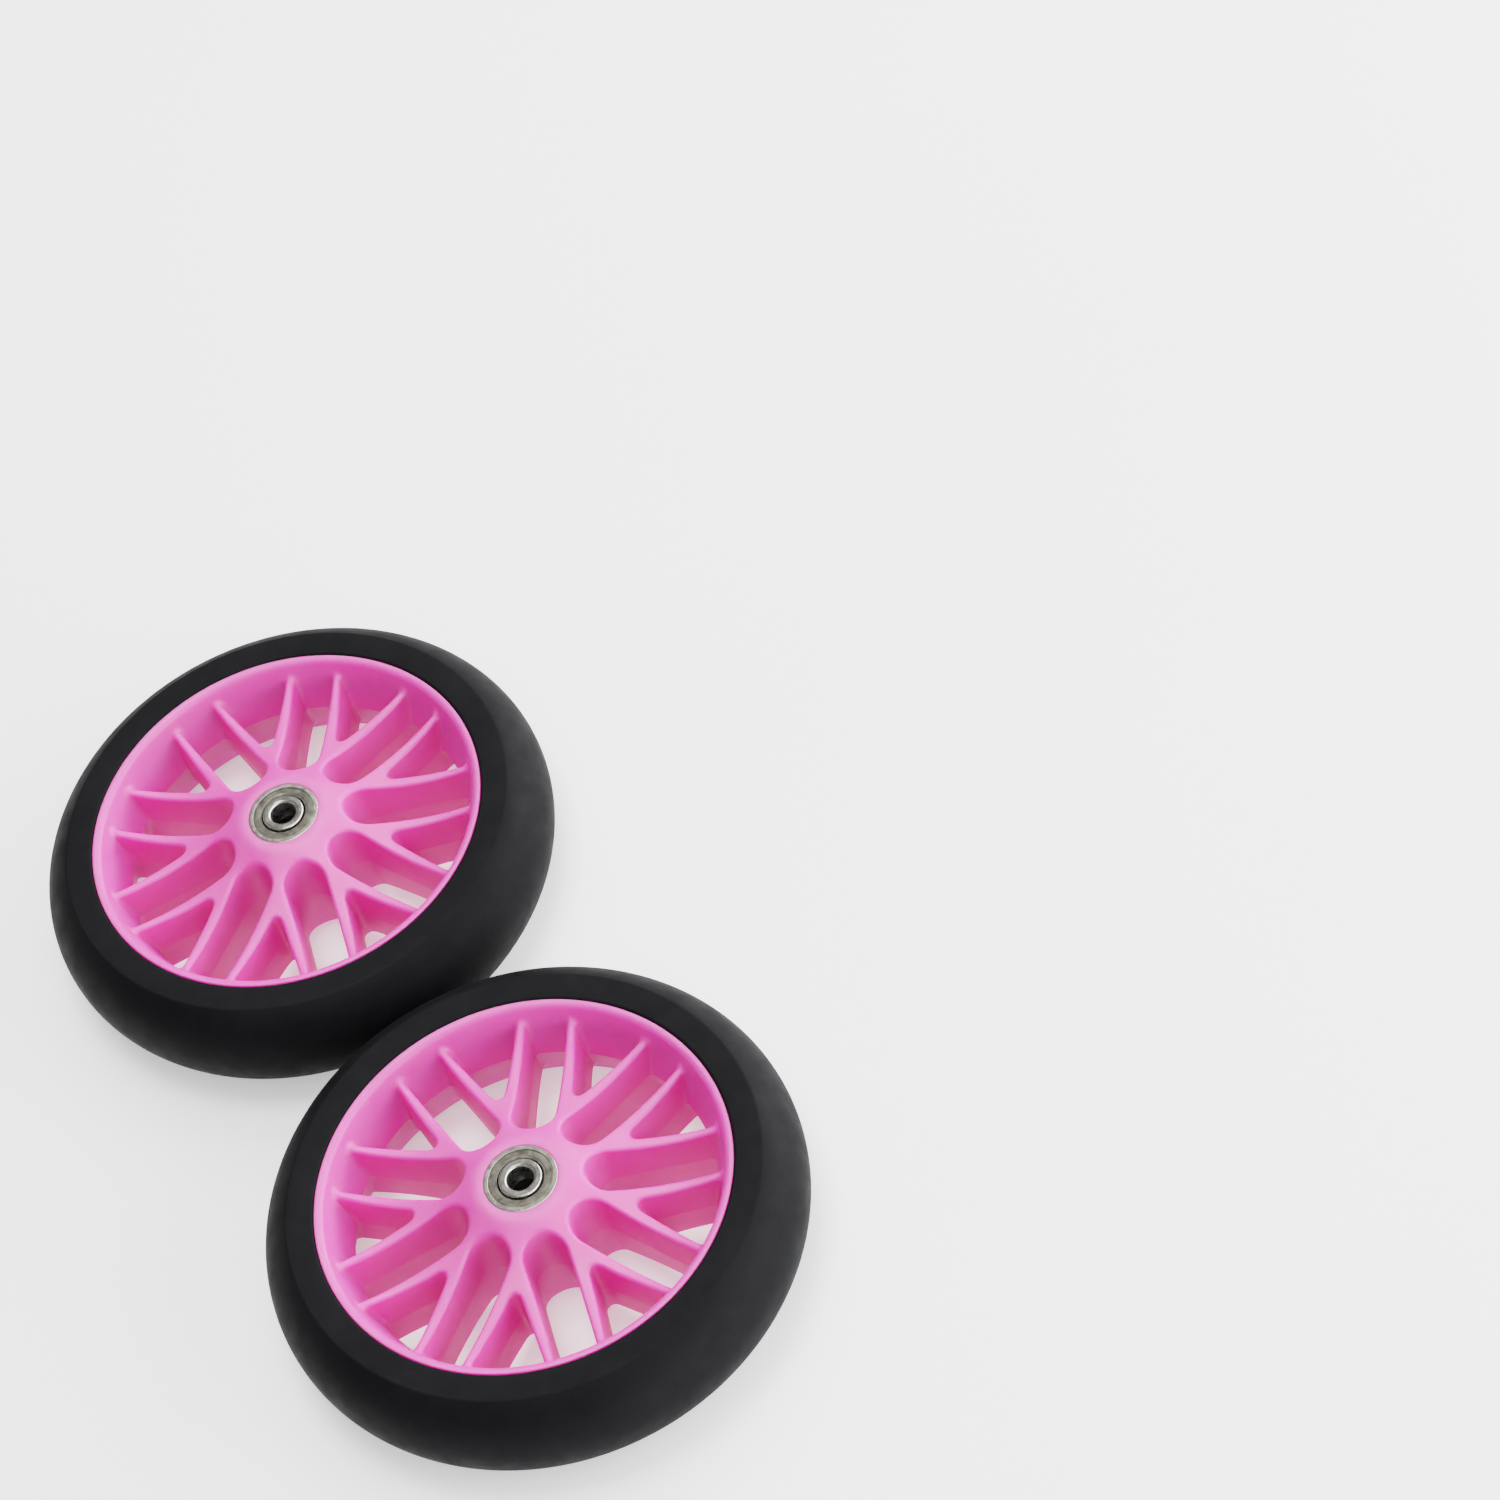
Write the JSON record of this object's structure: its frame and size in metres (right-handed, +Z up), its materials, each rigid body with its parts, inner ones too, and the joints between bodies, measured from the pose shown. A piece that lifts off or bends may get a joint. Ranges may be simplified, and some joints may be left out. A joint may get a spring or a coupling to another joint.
{
  "type": "bicycle training wheels",
  "caption": "Training wheels for a child's bicycle: solid rubber tyres on one-piece moulded rims with forked spokes, each turning on shielded ball bearings.",
  "frame": {"origin": "on the floor, midway between the two axles", "axes": "+Z up along both axles, +Y from the right wheel to the left wheel"},
  "size_m": [0.16, 0.3204, 0.0386],
  "materials": {
    "rim_plastic": "satin moulded",
    "tyre_rubber": "matte",
    "ring_steel": "ground",
    "shield_steel": "pressed",
    "spacer_steel": "drawn tube"
  },
  "bodies": {
    "axle_sleeves": {"left_spacer": "spacer_steel", "left_upper_inner_ring": "ring_steel", "left_lower_inner_ring": "ring_steel", "right_spacer": "spacer_steel", "right_upper_inner_ring": "ring_steel", "right_lower_inner_ring": "ring_steel"},
    "left_wheel": {"left_tyre": "tyre_rubber", "left_rim": "rim_plastic", "left_upper_outer_ring": "ring_steel", "left_upper_outboard_shield": "shield_steel", "left_upper_inboard_shield": "shield_steel", "left_lower_outer_ring": "ring_steel", "left_lower_outboard_shield": "shield_steel", "left_lower_inboard_shield": "shield_steel"},
    "right_wheel": {"right_tyre": "tyre_rubber", "right_rim": "rim_plastic", "right_upper_outer_ring": "ring_steel", "right_upper_outboard_shield": "shield_steel", "right_upper_inboard_shield": "shield_steel", "right_lower_outer_ring": "ring_steel", "right_lower_outboard_shield": "shield_steel", "right_lower_inboard_shield": "shield_steel"}
  },
  "joints": [
    {"name": "left_wheel_spin", "type": "hinge", "parent": "axle_sleeves", "child": "left_wheel", "pos_m": [0, 0.08025, 0.0193], "axis": [0, 0, 1], "continuous": true},
    {"name": "right_wheel_spin", "type": "hinge", "parent": "axle_sleeves", "child": "right_wheel", "pos_m": [0, -0.08025, 0.0193], "axis": [0, 0, 1], "continuous": true}
  ]
}
